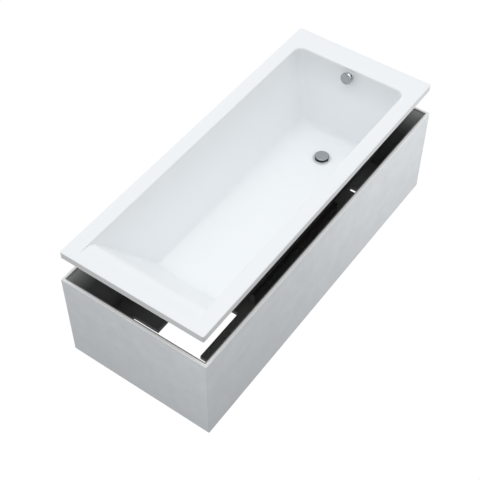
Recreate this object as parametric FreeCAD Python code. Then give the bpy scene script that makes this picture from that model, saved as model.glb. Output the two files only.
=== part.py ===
import FreeCAD, Part
import math
import os

os.makedirs("parts", exist_ok=True)

# A rectangular acrylic bathtub, shown lifted clear of the carrier box that it sits in.
# X runs from the head end to the foot end, Y to the left, Z up from the ground.

# Tub shell: one drawn sheet with a flat rim, a turned-down lip and a basin
tub_length = 1700.0
tub_width = 700.0
shell_wall = 5.0
lip_depth = 34.0
lip_corner_radius = 8.0
rim_edge_radius = 2.5
head_deck = 50.0
foot_deck = 118.0
side_deck = 67.0
basin_depth = 408.0
headrest_length = 94.0
headrest_deg = 12.6
backrest_deg = 53.0
side_draft_deg = 11.0
foot_draft_deg = 6.8
floor_fall_share = 0.01
knee_radius = 100.0
backrest_foot_radius = 60.0
floor_edge_radius = 62.0
crease_radius = 1.5
foot_corner_radius = 40.0
cut_overrun = 40.0
bend_steps = 6

# Drain: dish in the floor, flange, plug and waste cup
drain_from_foot = 200.0
dish_radius = 46.0
dish_flat_radius = 37.0
dish_depth = 5.0
dish_boss_margin = 6.0
drain_hole_radius = 26.0
flange_radius = 35.0
flange_thickness = 2.5
flange_throat_radius = 22.0
flange_skirt_wall = 2.0
flange_skirt_length = 18.0
spider_arm_width = 4.0
spider_height = 6.0
guide_radius = 7.0
guide_length = 9.0
upper_seal_thickness = 1.5
lower_seal_thickness = 2.0
plug_radius = 35.0
plug_edge_thickness = 5.0
plug_crown = 1.0
plug_shoulder_radius = 19.0
plug_shoulder_length = 10.0
plug_groove_depth = 2.0
plug_groove_width = 4.0
plug_socket_depth = 8.0
plug_travel = 12.0
stem_radius = 4.0
stem_length = 50.0
seat_gap = 0.3
running_gap = 0.05

# Waste cup and drum trap
waste_flange_radius = 40.0
waste_flange_thickness = 4.0
waste_cup_radius = 32.0
waste_wall = 3.0
waste_neck_length = 13.0
port_drop = 30.0
pipe_radius = 20.0
pipe_wall = 2.5
socket_wall = 4.4
socket_length = 32.0
spigot_insert = 25.0
push_gap = 0.1
nut_wall = 4.4
nut_length = 20.0
nut_lip = 5.0
trap_from_drain = 130.0
trap_radius = 48.0
trap_wall = 3.0
trap_top_margin = 2.0
trap_height = 74.0
trap_outlet_drop = 6.0
baffle_thickness = 3.0
baffle_clearance = 22.0
cap_neck_radius = 38.0
cap_radius = 43.0
cap_thickness = 6.0
cap_plug_length = 10.0
cap_grip_width = 8.0
cap_grip_height = 3.0
outlet_run = 80.0
outlet_drop = 50.0
outlet_bend_radius = 30.0

# Overflow: hole in the foot wall, clamped head, collar, knob and spindle
overflow_drop = 44.0
overflow_hole_radius = 24.0
overflow_seal_radius = 32.0
overflow_seal_thickness = 3.0
head_flange_radius = 34.0
head_flange_thickness = 4.0
head_cup_radius = 31.0
head_cup_depth = 30.0
head_wall = 3.0
head_spigot_length = 20.0
collar_radius = 27.0
collar_thickness = 4.0
collar_hub_radius = 9.0
collar_hub_reach = 20.0
collar_port_radius = 5.0
fixing_circle_radius = 17.0
screw_radius = 2.0
screw_head_radius = 4.0
screw_head_thickness = 2.5
screw_length = 22.0
post_radius = 4.5
knob_tilt_deg = 18.0
knob_radius = 28.5
knob_reach = 36.0
knob_depth = 14.0
knob_wall = 3.0
knob_edge = 1.5
knob_hub_radius = 7.0
knob_hub_inset = 1.0
spindle_radius = 4.0
spindle_tail = 24.0
cable_drum_radius = 9.0
cable_drum_width = 6.0

# Overflow pipe and the sheathed cable beside it
overflow_pipe_bore_radius = 14.0
overflow_pipe_wall = 2.5
overflow_bend_radius = 55.0
clamp_wall = 2.5
clamp_width = 9.0
clamp_inset = 5.0
cable_radius = 3.5
cable_offset = 26.0
cable_bend_radius = 90.0
gland_radius = 5.0
gland_length = 12.0

# Stiffening under the shell
board_thickness = 12.0
board_side_gap = 2.6
board_head_gap = 20.0
board_drain_gap = 26.0
batten_width = 38.0
batten_height = 18.0
batten_gap = 4.0

# Carrier box and the height at which the tub is shown above its seat
carrier_end_overhang = 10.0
carrier_side_overhang = 14.0
trap_ground_gap = 4.0
carrier_wall = 18.0
lift_shown = 138.0
base_thickness = 22.0
base_front_gap = 252.0
base_cutout_length = 280.0
base_tab_width = 95.0
base_slot = 28.0
foot_board_depth = 199.0
well_gap = 30.0
tongue_rail_width = 38.0
cradle_width = 32.0
cradle_inset = 2.0
cradle_head_gap = 140.0
pad_thickness = 5.0

# Places that follow from the sizes: the box is as high as the basin and the trap below it need
basin_width = tub_width - 2 * side_deck
carrier_length = tub_length + 2 * carrier_end_overhang
carrier_width = tub_width + 2 * carrier_side_overhang
drain_stack = dish_depth + shell_wall + lower_seal_thickness + port_drop - pipe_radius - trap_top_margin
trap_reach = drain_stack + trap_height + cap_thickness
carrier_height = basin_depth + trap_reach + trap_ground_gap - lip_depth
rim_z = carrier_height + lift_shown + lip_depth
lip_z = rim_z - lip_depth
x_head = head_deck - tub_length / 2
x_foot = tub_length / 2 - foot_deck
drain_x = x_foot - drain_from_foot
floor_z = rim_z - basin_depth
side_tan = math.tan(math.radians(side_draft_deg))
side_cos = math.cos(math.radians(side_draft_deg))
foot_tan = math.tan(math.radians(foot_draft_deg))
foot_cos = math.cos(math.radians(foot_draft_deg))
up = FreeCAD.Vector(0, 0, 1)
down = FreeCAD.Vector(0, 0, -1)
along = FreeCAD.Vector(1, 0, 0)


def vec(x, y, z):
    return FreeCAD.Vector(x, y, z)


def prism(corners, direction):
    """A closed polygon of corners, extruded along a direction."""
    return Part.Face(Part.makePolygon(corners + corners[:1])).extrude(direction)


def block(low, high):
    """A box between its lowest and highest corners."""
    return Part.makeBox(high.x - low.x, high.y - low.y, high.z - low.z, low)


def rod(radius, base, direction, length):
    return Part.makeCylinder(radius, length, base, direction)


def tube(outer, inner, base, direction, length):
    return rod(outer, base, direction, length).cut(rod(inner, base, direction, length))


def turned(outline, base, axis):
    """A closed outline of (radius, height) points, turned about an axis from a base point."""
    corners = [vec(radius, 0, height) for radius, height in outline]
    solid = Part.Face(Part.makePolygon(corners + corners[:1])).revolve(vec(0, 0, 0), up, 360)
    solid.Placement = FreeCAD.Placement(base, FreeCAD.Rotation(up, axis))
    return solid


def bent_path(start, corner, end, radius):
    """Two straight runs that meet at a corner, joined by a tangent arc."""
    first = (start - corner).normalize()
    second = (end - corner).normalize()
    half = first.getAngle(second) / 2
    reach = radius / math.tan(half)
    centre = corner + (first + second).normalize() * (radius / math.sin(half))
    middle = centre + (corner - centre).normalize() * radius
    enter = corner + first * reach
    leave = corner + second * reach
    return Part.Wire([
        Part.LineSegment(start, enter).toShape(),
        Part.Arc(enter, middle, leave).toShape(),
        Part.LineSegment(leave, end).toShape(),
    ])


def swept(path, radius):
    """A round rod along a path of runs and arcs."""
    first = path.OrderedEdges[0]
    start = first.valueAt(first.FirstParameter)
    heading = first.tangentAt(first.FirstParameter)
    ring = Part.Wire([Part.makeCircle(radius, start, heading)])
    return path.makePipeShell([ring], True, False)


def save(name, shape):
    shape.exportStep("parts/" + name + ".step")
    print(name, len(shape.Solids), round(shape.Volume), shape.isValid())


class Bed:
    """Side view of the basin bed, offset outwards: headrest, knee, backrest, bend and floor."""

    def __init__(self, grow):
        headrest_tan = math.tan(math.radians(headrest_deg))
        backrest_tan = math.tan(math.radians(backrest_deg))
        knee_corner_z = rim_z - headrest_length * headrest_tan
        self.slopes = [-headrest_tan, -backrest_tan, -floor_fall_share]
        self.starts = [(x_head, rim_z), (x_head + headrest_length, knee_corner_z), (drain_x, floor_z)]
        self.drops = [grow * math.hypot(1, slope) for slope in self.slopes]
        self.arcs = [self.arc(0, knee_radius - grow, 1), self.arc(1, backrest_foot_radius + grow, -1)]

    def line(self, index, x):
        start_x, start_z = self.starts[index]
        return start_z + self.slopes[index] * (x - start_x) - self.drops[index]

    def arc(self, index, radius, bulge):
        """Tangent arc between two neighbouring lines: ends, centre, radius and side of the bulge."""
        before = self.slopes[index]
        after = self.slopes[index + 1]
        corner_x = (self.line(index + 1, 0) - self.line(index, 0)) / (before - after)
        turn = abs(math.atan(after) - math.atan(before))
        reach = radius * math.tan(turn / 2)
        enter_x = corner_x - reach * math.cos(math.atan(before))
        leave_x = corner_x + reach * math.cos(math.atan(after))
        centre_x = enter_x + bulge * radius * math.sin(math.atan(before))
        centre_z = self.line(index, enter_x) - bulge * radius * math.cos(math.atan(before))
        return enter_x, leave_x, centre_x, centre_z, radius, bulge

    def height(self, x):
        for index, (enter_x, leave_x, centre_x, centre_z, radius, bulge) in enumerate(self.arcs):
            if x < enter_x:
                return self.line(index, x)
            if x < leave_x:
                return centre_z + bulge * math.sqrt(radius ** 2 - (x - centre_x) ** 2)
        return self.line(len(self.arcs), x)


inner_bed = Bed(0)
bend_end_x = inner_bed.arcs[1][1]
bend_depth = rim_z - inner_bed.height(bend_end_x)


def side_reach(z, grow):
    """Half width of the basin at a height: the sides lean outwards by their draft."""
    return basin_width / 2 - side_tan * (rim_z - z) + grow / side_cos


def edge_radius(x):
    """The bend between bed and sides: a crease at the headrest, opening with the depth."""
    depth_share = min(max((rim_z - inner_bed.height(x)) / bend_depth, 0), 1)
    return crease_radius + (floor_edge_radius - crease_radius) * depth_share


def basin_section(x, bed_z, grow):
    """Cross-section of the basin at one station: bed, two bends, two sides, open top."""
    radius = edge_radius(x) + grow
    draft = math.radians(side_draft_deg)
    reach = radius * math.tan(math.pi / 4 - draft / 2)
    top = rim_z + cut_overrun
    flat = side_reach(bed_z, grow) - reach
    side_y = side_reach(bed_z, grow) + reach * math.sin(draft)
    side_z = bed_z + reach * math.cos(draft)
    half_turn = math.pi / 4 + draft / 2
    bend_y = flat + radius * math.cos(half_turn)
    bend_z = bed_z + radius - radius * math.sin(half_turn)
    edges = [
        Part.LineSegment(vec(x, -side_reach(top, grow), top), vec(x, -side_y, side_z)),
        Part.Arc(vec(x, -side_y, side_z), vec(x, -bend_y, bend_z), vec(x, -flat, bed_z)),
        Part.LineSegment(vec(x, -flat, bed_z), vec(x, flat, bed_z)),
        Part.Arc(vec(x, flat, bed_z), vec(x, bend_y, bend_z), vec(x, side_y, side_z)),
        Part.LineSegment(vec(x, side_y, side_z), vec(x, side_reach(top, grow), top)),
        Part.LineSegment(vec(x, side_reach(top, grow), top), vec(x, -side_reach(top, grow), top)),
    ]
    return Part.Wire([edge.toShape() for edge in edges])


def basin(grow):
    """The basin as a solid, offset outwards: sections along the backrest, then the straight floor."""
    bed = Bed(grow)
    knee_in, knee_out = bed.arcs[0][:2]
    bend_in, bend_out = bed.arcs[1][:2]
    spans = [(x_head - cut_overrun, knee_in, 1), (knee_in, knee_out, bend_steps),
             (knee_out, bend_in, 1), (bend_in, bend_out, bend_steps)]
    pieces = []
    for begin, end, steps in spans:
        stations = [begin + (end - begin) * step / steps for step in range(steps + 1)]
        sections = [basin_section(x, bed.height(x), grow) for x in stations]
        pieces.append(Part.makeLoft(sections, True, steps == 1))

    run = x_foot - bend_out + cut_overrun
    straight = Part.Face(basin_section(bend_out, bed.height(bend_out), grow))
    straight = straight.extrude(vec(run, 0, -floor_fall_share * run))
    wall_x = x_foot + grow / foot_cos
    above = 2 * cut_overrun
    behind = [
        vec(wall_x + above * foot_tan, -tub_width, rim_z + above),
        vec(wall_x - tub_width * foot_tan, -tub_width, rim_z - tub_width),
        vec(tub_length, -tub_width, rim_z - tub_width),
        vec(tub_length, -tub_width, rim_z + above),
    ]
    straight = straight.cut(prism(behind, vec(0, 2 * tub_width, 0)))
    foot_edges = []
    for edge in straight.Edges:
        gaps = [abs(wall_x - foot_tan * (rim_z - v.Z) - v.X) for v in edge.Vertexes]
        if max(gaps) < push_gap and edge.BoundBox.ZMin < rim_z:
            foot_edges.append(edge)
    straight = straight.makeFillet(foot_corner_radius + grow, foot_edges)
    return straight.fuse(pieces).removeSplitter()


# Overflow frame: the axis of the hole is square to the foot wall, the knob's axis is tilted up
overflow_z = rim_z - overflow_drop
overflow_point = vec(x_foot - foot_tan * overflow_drop, 0, overflow_z)
wall_out = vec(foot_cos, 0, -foot_cos * foot_tan)
wall_in = wall_out * -1
knob_axis = vec(-math.cos(math.radians(knob_tilt_deg)), 0, math.sin(math.radians(knob_tilt_deg)))

# Drain heights, from the floor dish downwards
dish_z = floor_z - dish_depth
dish_under_z = dish_z - shell_wall
boss_radius = dish_radius + dish_boss_margin
flange_z = dish_z + upper_seal_thickness
flange_top_z = flange_z + flange_thickness
waste_top_z = dish_under_z - lower_seal_thickness
port_z = waste_top_z - port_drop
drain_axis = vec(drain_x, 0, 0)

# Tub shell
rim = block(vec(-tub_length / 2, -tub_width / 2, lip_z), vec(tub_length / 2, tub_width / 2, rim_z))
corner_edges = [edge for edge in rim.Edges if edge.BoundBox.ZLength > lip_depth / 2]
rim = rim.makeFillet(lip_corner_radius, corner_edges)
top_edges = [edge for edge in rim.Edges if edge.BoundBox.ZMin > rim_z - push_gap]
rim = rim.makeFillet(rim_edge_radius, top_edges)
hollow = block(
    vec(shell_wall - tub_length / 2, shell_wall - tub_width / 2, lip_z - cut_overrun),
    vec(tub_length / 2 - shell_wall, tub_width / 2 - shell_wall, rim_z - shell_wall),
)
hollow_edges = [edge for edge in hollow.Edges if edge.BoundBox.ZLength > lip_depth / 2]
hollow = hollow.makeFillet(lip_corner_radius - shell_wall, hollow_edges)
below_rim = block(vec(-tub_length / 2, -tub_width / 2, 0), vec(tub_length / 2, tub_width / 2, rim_z))
boss = rod(boss_radius, drain_axis + up * dish_under_z, up, dish_depth + shell_wall)
dish = turned(
    [(0, dish_z), (dish_flat_radius, dish_z), (dish_radius, floor_z), (dish_radius, rim_z), (0, rim_z)],
    drain_axis, up,
)
tub_shell = rim.cut(hollow).fuse([basin(shell_wall).common(below_rim), boss]).cut(basin(0))
tub_shell = tub_shell.cut(dish)
tub_shell = tub_shell.cut(rod(drain_hole_radius, drain_axis, up, rim_z))
overflow_cut_start = overflow_point + wall_in * shell_wall
tub_shell = tub_shell.cut(rod(overflow_hole_radius, overflow_cut_start, wall_out, cut_overrun))
save("tub_shell", tub_shell.removeSplitter())

# Floor board, laminated to the underside of the floor
outer_bed = Bed(shell_wall)
board_head_x = outer_bed.arcs[1][1] + board_head_gap
floor_under_z = outer_bed.height(drain_x)
bend_reach = (floor_edge_radius + shell_wall) * math.tan(math.pi / 4 - math.radians(side_draft_deg) / 2)
board_half_width = side_reach(floor_under_z, shell_wall) - bend_reach - board_side_gap
board_drain_x = drain_x - boss_radius - board_drain_gap


def under_floor(x, below):
    """Height of a plane that lies a given distance below the floor's underside."""
    return outer_bed.line(len(outer_bed.arcs), x) - below


def sloped_bar(head_x, foot_x, low_y, high_y, top_below, bottom_z):
    """A bar whose top follows the fall of the floor, with its underside level or following too."""
    corners = [
        vec(head_x, low_y, under_floor(head_x, top_below)),
        vec(foot_x, low_y, under_floor(foot_x, top_below)),
        vec(foot_x, low_y, bottom_z(foot_x)),
        vec(head_x, low_y, bottom_z(head_x)),
    ]
    return prism(corners, vec(0, high_y - low_y, 0))


floor_board = sloped_bar(
    board_head_x, board_drain_x, -board_half_width, board_half_width,
    0, lambda x: under_floor(x, board_thickness),
)
save("floor_board", floor_board)

# Rim battens, bonded under the rim just inside the lip
batten_top = rim_z - shell_wall
batten_outer_x = tub_length / 2 - shell_wall - batten_gap
batten_outer_y = tub_width / 2 - shell_wall - batten_gap
batten_long_x = batten_outer_x - batten_width - batten_gap


def batten(low_x, high_x, low_y, high_y):
    return block(vec(low_x, low_y, batten_top - batten_height), vec(high_x, high_y, batten_top))


save("rim_batten_left", batten(-batten_long_x, batten_long_x, batten_outer_y - batten_width, batten_outer_y))
save("rim_batten_right", batten(-batten_long_x, batten_long_x, -batten_outer_y, batten_width - batten_outer_y))
save("rim_batten_head", batten(-batten_outer_x, batten_width - batten_outer_x, -batten_outer_y, batten_outer_y))
save("rim_batten_foot", batten(batten_outer_x - batten_width, batten_outer_x, -batten_outer_y, batten_outer_y))

# Drain flange with a three-armed spider that guides the plug stem
skirt_radius = flange_throat_radius + flange_skirt_wall
skirt_z = flange_z - flange_skirt_length
drain_flange = turned([
    (flange_throat_radius, skirt_z), (skirt_radius, skirt_z), (skirt_radius, flange_z),
    (flange_radius, flange_z), (flange_radius, flange_top_z - flange_thickness / 2),
    (flange_radius - flange_thickness, flange_top_z), (skirt_radius, flange_top_z),
    (flange_throat_radius, flange_top_z - flange_thickness / 2),
], drain_axis, up)
for arm_turn in range(3):
    arm = block(
        vec(0, -spider_arm_width / 2, skirt_z),
        vec(flange_throat_radius + flange_skirt_wall / 2, spider_arm_width / 2, skirt_z + spider_height),
    )
    arm.rotate(vec(0, 0, 0), up, arm_turn * 120)
    arm.translate(drain_axis)
    drain_flange = drain_flange.fuse(arm)
drain_flange = drain_flange.fuse(rod(guide_radius, drain_axis + up * skirt_z, up, guide_length))
drain_flange = drain_flange.cut(rod(stem_radius + running_gap, drain_axis, up, rim_z))
save("drain_flange", drain_flange.removeSplitter())
save("drain_seal_upper", tube(
    flange_radius - flange_thickness, drain_hole_radius, drain_axis + up * dish_z, up, upper_seal_thickness))
save("drain_seal_lower", tube(
    waste_flange_radius - waste_wall, drain_hole_radius, drain_axis + up * waste_top_z, up, lower_seal_thickness))

# Drain plug, shown open: crowned cap, shoulder with its seal, and stem
cap_z = flange_top_z + seat_gap + plug_travel
shoulder_z = cap_z - plug_shoulder_length
groove_radius = plug_shoulder_radius - plug_groove_depth
groove_z = cap_z - plug_shoulder_length / 2 - plug_groove_width / 2
crown_radius = (plug_radius ** 2 + plug_crown ** 2) / (2 * plug_crown)
crown_half_rise = math.sqrt(crown_radius ** 2 - plug_radius ** 2 / 4) - crown_radius + plug_crown
cap_edge_z = cap_z + plug_edge_thickness
cap_outline = [
    Part.makePolygon([
        vec(0, 0, cap_edge_z + plug_crown), vec(0, 0, cap_z - plug_shoulder_length + plug_socket_depth),
        vec(stem_radius, 0, cap_z - plug_shoulder_length + plug_socket_depth),
        vec(stem_radius, 0, shoulder_z), vec(plug_shoulder_radius, 0, shoulder_z),
        vec(plug_shoulder_radius, 0, groove_z), vec(groove_radius, 0, groove_z),
        vec(groove_radius, 0, groove_z + plug_groove_width),
        vec(plug_shoulder_radius, 0, groove_z + plug_groove_width),
        vec(plug_shoulder_radius, 0, cap_z), vec(plug_radius, 0, cap_z), vec(plug_radius, 0, cap_edge_z),
    ]),
    Part.Wire([Part.Arc(
        vec(plug_radius, 0, cap_edge_z),
        vec(plug_radius / 2, 0, cap_edge_z + crown_half_rise),
        vec(0, 0, cap_edge_z + plug_crown),
    ).toShape()]),
]
drain_plug = Part.Face(Part.Wire(cap_outline)).revolve(vec(0, 0, 0), up, 360)
drain_plug.translate(drain_axis)
save("drain_plug", drain_plug)
seal_lip_radius = flange_throat_radius - seat_gap
save("plug_seal", turned([
    (groove_radius, groove_z), (plug_shoulder_radius, groove_z),
    (seal_lip_radius, groove_z + plug_groove_width / 2), (plug_shoulder_radius, groove_z + plug_groove_width),
    (groove_radius, groove_z + plug_groove_width),
], drain_axis, up))
stem_top_z = shoulder_z + plug_socket_depth
save("plug_stem", rod(stem_radius, drain_axis + up * (stem_top_z - stem_length), up, stem_length))

# Waste cup: flange, neck round the skirt, spigot for the overflow pipe, socket for the trap, cable gland
overflow_spigot_radius = overflow_pipe_bore_radius - push_gap
overflow_spigot_bore = overflow_spigot_radius - pipe_wall
socket_bore = pipe_radius + push_gap
socket_radius = socket_bore + socket_wall
cup_bottom_z = port_z - socket_radius - waste_wall
cup_bore = waste_cup_radius - waste_wall
neck_z = waste_top_z - waste_neck_length
port_point = vec(drain_x, 0, port_z)
cable_y = cable_offset
cup_gland_x = math.sqrt(waste_cup_radius ** 2 - cable_y ** 2)
waste_body = turned([
    (0, cup_bottom_z), (waste_cup_radius, cup_bottom_z),
    (waste_cup_radius, waste_top_z - waste_flange_thickness),
    (waste_flange_radius, waste_top_z - waste_flange_thickness), (waste_flange_radius, waste_top_z),
    (0, waste_top_z),
], drain_axis, up)
spigot_end = waste_cup_radius + head_spigot_length
socket_end = waste_cup_radius + socket_length
waste_body = waste_body.fuse([
    rod(overflow_spigot_radius, port_point, along, spigot_end),
    rod(socket_radius, port_point, along * -1, socket_end),
    rod(gland_radius, port_point + vec(0, cable_y, 0), along, cup_gland_x + gland_length),
])
waste_body = waste_body.cut(turned([
    (0, cup_bottom_z + waste_wall), (cup_bore, cup_bottom_z + waste_wall), (cup_bore, neck_z),
    (skirt_radius + push_gap, neck_z), (skirt_radius + push_gap, waste_top_z), (0, waste_top_z),
], drain_axis, up))
waste_body = waste_body.cut(rod(overflow_spigot_bore, port_point, along, spigot_end))
waste_body = waste_body.cut(rod(socket_bore, port_point, along * -1, socket_end))
save("waste_body", waste_body.removeSplitter())

# Drum trap beside the waste cup: inlet pipe, baffle, outlet socket and a cleaning cap below.
# Its outlet pipe turns down through the opening in the base.
trap_x = drain_x - trap_from_drain
trap_axis = vec(trap_x, 0, 0)
trap_top_z = port_z + pipe_radius + trap_top_margin
trap_bottom_z = trap_top_z - trap_height
outlet_z = port_z - trap_outlet_drop
inlet_point = vec(trap_x, 0, port_z)
outlet_point = vec(trap_x, 0, outlet_z)
inlet_length = trap_from_drain - socket_end + spigot_insert
outlet_socket_end = trap_radius + socket_length
trap_bore = trap_radius - trap_wall
trap_body = rod(trap_radius, trap_axis + up * trap_bottom_z, up, trap_height)
trap_body = trap_body.fuse([
    rod(pipe_radius, inlet_point, along, inlet_length),
    rod(socket_radius, outlet_point, along * -1, outlet_socket_end),
])
trap_body = trap_body.cut(turned([
    (0, trap_bottom_z), (cap_neck_radius, trap_bottom_z), (cap_neck_radius, trap_bottom_z + trap_wall),
    (trap_bore, trap_bottom_z + trap_wall), (trap_bore, trap_top_z - trap_wall), (0, trap_top_z - trap_wall),
], trap_axis, up))
trap_body = trap_body.cut(rod(pipe_radius - pipe_wall, inlet_point, along, inlet_length))
trap_body = trap_body.cut(rod(socket_bore, outlet_point, along * -1, outlet_socket_end))
baffle = block(
    vec(trap_x - baffle_thickness / 2, -trap_radius, trap_bottom_z + cap_plug_length + baffle_clearance),
    vec(trap_x + baffle_thickness / 2, trap_radius, trap_top_z),
)
baffle = baffle.common(rod(trap_radius, trap_axis + up * trap_bottom_z, up, trap_height))
save("trap_body", trap_body.fuse(baffle).removeSplitter())

cap_bottom_z = trap_bottom_z - cap_thickness
cleaning_cap = turned([
    (0, cap_bottom_z), (cap_radius, cap_bottom_z), (cap_radius, trap_bottom_z),
    (cap_neck_radius - push_gap, trap_bottom_z), (cap_neck_radius - push_gap, trap_bottom_z + cap_plug_length),
    (cap_neck_radius - trap_wall, trap_bottom_z + cap_plug_length), (cap_neck_radius - trap_wall, trap_bottom_z),
    (0, trap_bottom_z),
], trap_axis, up)
grip_cut = block(
    vec(trap_x - cap_radius, cap_grip_width / 2, cap_bottom_z),
    vec(trap_x + cap_radius, cap_radius, cap_bottom_z + cap_grip_height),
)
cleaning_cap = cleaning_cap.cut(grip_cut).cut(grip_cut.mirror(vec(0, 0, 0), vec(0, 1, 0)))
save("trap_cleaning_cap", cleaning_cap.removeSplitter())


def slip_nut(face_x, centre_z, outward):
    """A nut over the end of a socket, its lip closing round the pipe."""
    nut_bore = socket_radius + push_gap
    return turned([
        (pipe_radius + push_gap, push_gap), (pipe_radius + push_gap, nut_lip), (nut_bore + nut_wall, nut_lip),
        (nut_bore + nut_wall, nut_lip - nut_length), (nut_bore, nut_lip - nut_length), (nut_bore, push_gap),
    ], vec(face_x, 0, centre_z), outward)


save("trap_slip_nut", slip_nut(drain_x - socket_end, port_z, along * -1))
outlet_face_x = trap_x - outlet_socket_end
save("trap_outlet_nut", slip_nut(outlet_face_x, outlet_z, along * -1))
outlet_start = vec(outlet_face_x + spigot_insert, 0, outlet_z)
outlet_corner = vec(outlet_face_x - outlet_run, 0, outlet_z)
outlet_path = bent_path(outlet_start, outlet_corner, outlet_corner + down * outlet_drop, outlet_bend_radius)
save("trap_outlet_pipe", swept(outlet_path, pipe_radius).cut(swept(outlet_path, pipe_radius - pipe_wall)))

# Overflow head behind the foot wall: flange, cup, fixing posts, spigot and cable gland
seal_start = overflow_point + wall_out * shell_wall
head_start = seal_start + wall_out * overflow_seal_thickness
save("overflow_seal", tube(
    overflow_seal_radius, overflow_hole_radius, seal_start, wall_out, overflow_seal_thickness))
cup_middle = head_start + wall_out * (head_cup_depth / 2)
spigot_top = vec(cup_middle.x, 0, cup_middle.z)
spigot_reach = head_cup_radius + head_spigot_length
gland_top = spigot_top + vec(0, cable_y, 0)
gland_drop = math.sqrt(head_cup_radius ** 2 - cable_y ** 2) + gland_length
overflow_head = turned([
    (0, 0), (head_flange_radius, 0), (head_flange_radius, head_flange_thickness),
    (head_cup_radius, head_flange_thickness), (head_cup_radius, head_cup_depth), (0, head_cup_depth),
], head_start, wall_out)
overflow_head = overflow_head.fuse([
    rod(overflow_spigot_radius, spigot_top, down, spigot_reach),
    rod(gland_radius, gland_top, down, gland_drop),
])
overflow_head = overflow_head.cut(
    rod(head_cup_radius - head_wall, head_start, wall_out, head_cup_depth - head_wall))
overflow_head = overflow_head.cut(rod(overflow_spigot_bore, spigot_top, down, spigot_reach))
post_start = overflow_point + wall_out * seat_gap
post_length = shell_wall + overflow_seal_thickness + head_cup_depth - seat_gap
for side in (-1, 1):
    post_base = post_start + vec(0, side * fixing_circle_radius, 0)
    overflow_head = overflow_head.fuse(rod(post_radius, post_base, wall_out, post_length))
    overflow_head = overflow_head.cut(rod(screw_radius + push_gap, post_base, wall_out, screw_length))
save("overflow_head", overflow_head.removeSplitter())

# Collar on the inside of the wall: clamping disc with water ports, and a tilted hub for the spindle
collar = rod(collar_radius, overflow_point, wall_in, collar_thickness)
hub = rod(collar_hub_radius, overflow_point - knob_axis * collar_hub_radius, knob_axis,
          collar_hub_radius + collar_hub_reach)
behind_wall = rod(collar_radius, overflow_point, wall_out, collar_radius)
collar = collar.fuse(hub.cut(behind_wall))
collar = collar.cut(rod(spindle_radius + running_gap, overflow_point - knob_axis * cut_overrun, knob_axis,
                        2 * cut_overrun))
wall_up = vec(foot_tan * foot_cos, 0, foot_cos)
screws = []
for side in (-1, 1):
    fixing = overflow_point + vec(0, side * fixing_circle_radius, 0)
    collar = collar.cut(rod(screw_radius + push_gap, fixing, wall_in, collar_thickness))
    for rise in (-1, 1):
        diagonal = vec(0, side, 0) + wall_up * rise
        port = overflow_point + diagonal.normalize() * fixing_circle_radius
        collar = collar.cut(rod(collar_port_radius, port, wall_in, collar_thickness))
    screw_face = fixing + wall_in * collar_thickness
    shank = rod(screw_radius, screw_face, wall_out, screw_length)
    screws.append(shank.fuse(rod(screw_head_radius, screw_face, wall_in, screw_head_thickness)).removeSplitter())
save("overflow_collar", collar.removeSplitter())
save("overflow_screws", Part.makeCompound(screws))

# Knob on its spindle, with the drum that winds the cable inside the head
knob_back = knob_reach - knob_depth
knob_floor = knob_reach - knob_wall
socket_floor = knob_reach - knob_wall / 2
save("overflow_knob", turned([
    (spindle_radius, knob_back + knob_hub_inset), (knob_hub_radius, knob_back + knob_hub_inset),
    (knob_hub_radius, knob_floor), (knob_radius - knob_wall, knob_floor), (knob_radius - knob_wall, knob_back),
    (knob_radius, knob_back), (knob_radius, knob_reach - knob_edge), (knob_radius - knob_edge, knob_reach),
    (0, knob_reach), (0, socket_floor), (spindle_radius, socket_floor),
], overflow_point, knob_axis))
save("knob_spindle", rod(
    spindle_radius, overflow_point - knob_axis * spindle_tail, knob_axis, spindle_tail + socket_floor))
save("cable_drum", tube(
    cable_drum_radius, spindle_radius, overflow_point - knob_axis * spindle_tail, knob_axis, cable_drum_width))

# Overflow pipe from head to waste cup, with a clamp at each end
pipe_top = spigot_top + down * (head_cup_radius + head_wall)
pipe_corner = vec(spigot_top.x, 0, port_z)
pipe_end = port_point + along * (waste_cup_radius + waste_wall)
pipe_path = bent_path(pipe_top, pipe_corner, pipe_end, overflow_bend_radius)
pipe_outer_radius = overflow_pipe_bore_radius + overflow_pipe_wall
overflow_pipe = swept(pipe_path, pipe_outer_radius).cut(swept(pipe_path, overflow_pipe_bore_radius))
save("overflow_pipe", overflow_pipe)
clamp_radius = pipe_outer_radius + clamp_wall
clamps = [
    tube(clamp_radius, pipe_outer_radius, pipe_top + down * clamp_inset, down, clamp_width),
    tube(clamp_radius, pipe_outer_radius, pipe_end + along * clamp_inset, along, clamp_width),
]
save("overflow_pipe_clamps", Part.makeCompound(clamps))

# Sheathed cable beside the overflow pipe, held by a gland at each end
cable_start = gland_top + down * gland_drop
cable_corner = vec(spigot_top.x, cable_y, port_z)
cable_end = port_point + vec(cup_gland_x + gland_length, cable_y, 0)
save("control_cable", swept(bent_path(cable_start, cable_corner, cable_end, cable_bend_radius), cable_radius))

# Carrier walls, mitred at the corners so that no joint shows on a face
outer_x = carrier_length / 2
outer_y = carrier_width / 2
inner_x = outer_x - carrier_wall
inner_y = outer_y - carrier_wall


def carrier_wall_piece(first, second):
    """A wall between two corners of the box, each given as signs of X and Y."""
    corners = [
        vec(first[0] * outer_x, first[1] * outer_y, 0), vec(first[0] * inner_x, first[1] * inner_y, 0),
        vec(second[0] * inner_x, second[1] * inner_y, 0), vec(second[0] * outer_x, second[1] * outer_y, 0),
    ]
    return prism(corners, up * carrier_height)


save("carrier_wall_head", carrier_wall_piece((-1, -1), (-1, 1)))
save("carrier_wall_foot", carrier_wall_piece((1, 1), (1, -1)))
save("carrier_wall_left", carrier_wall_piece((-1, 1), (1, 1)))
save("carrier_wall_right", carrier_wall_piece((1, -1), (-1, -1)))

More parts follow.
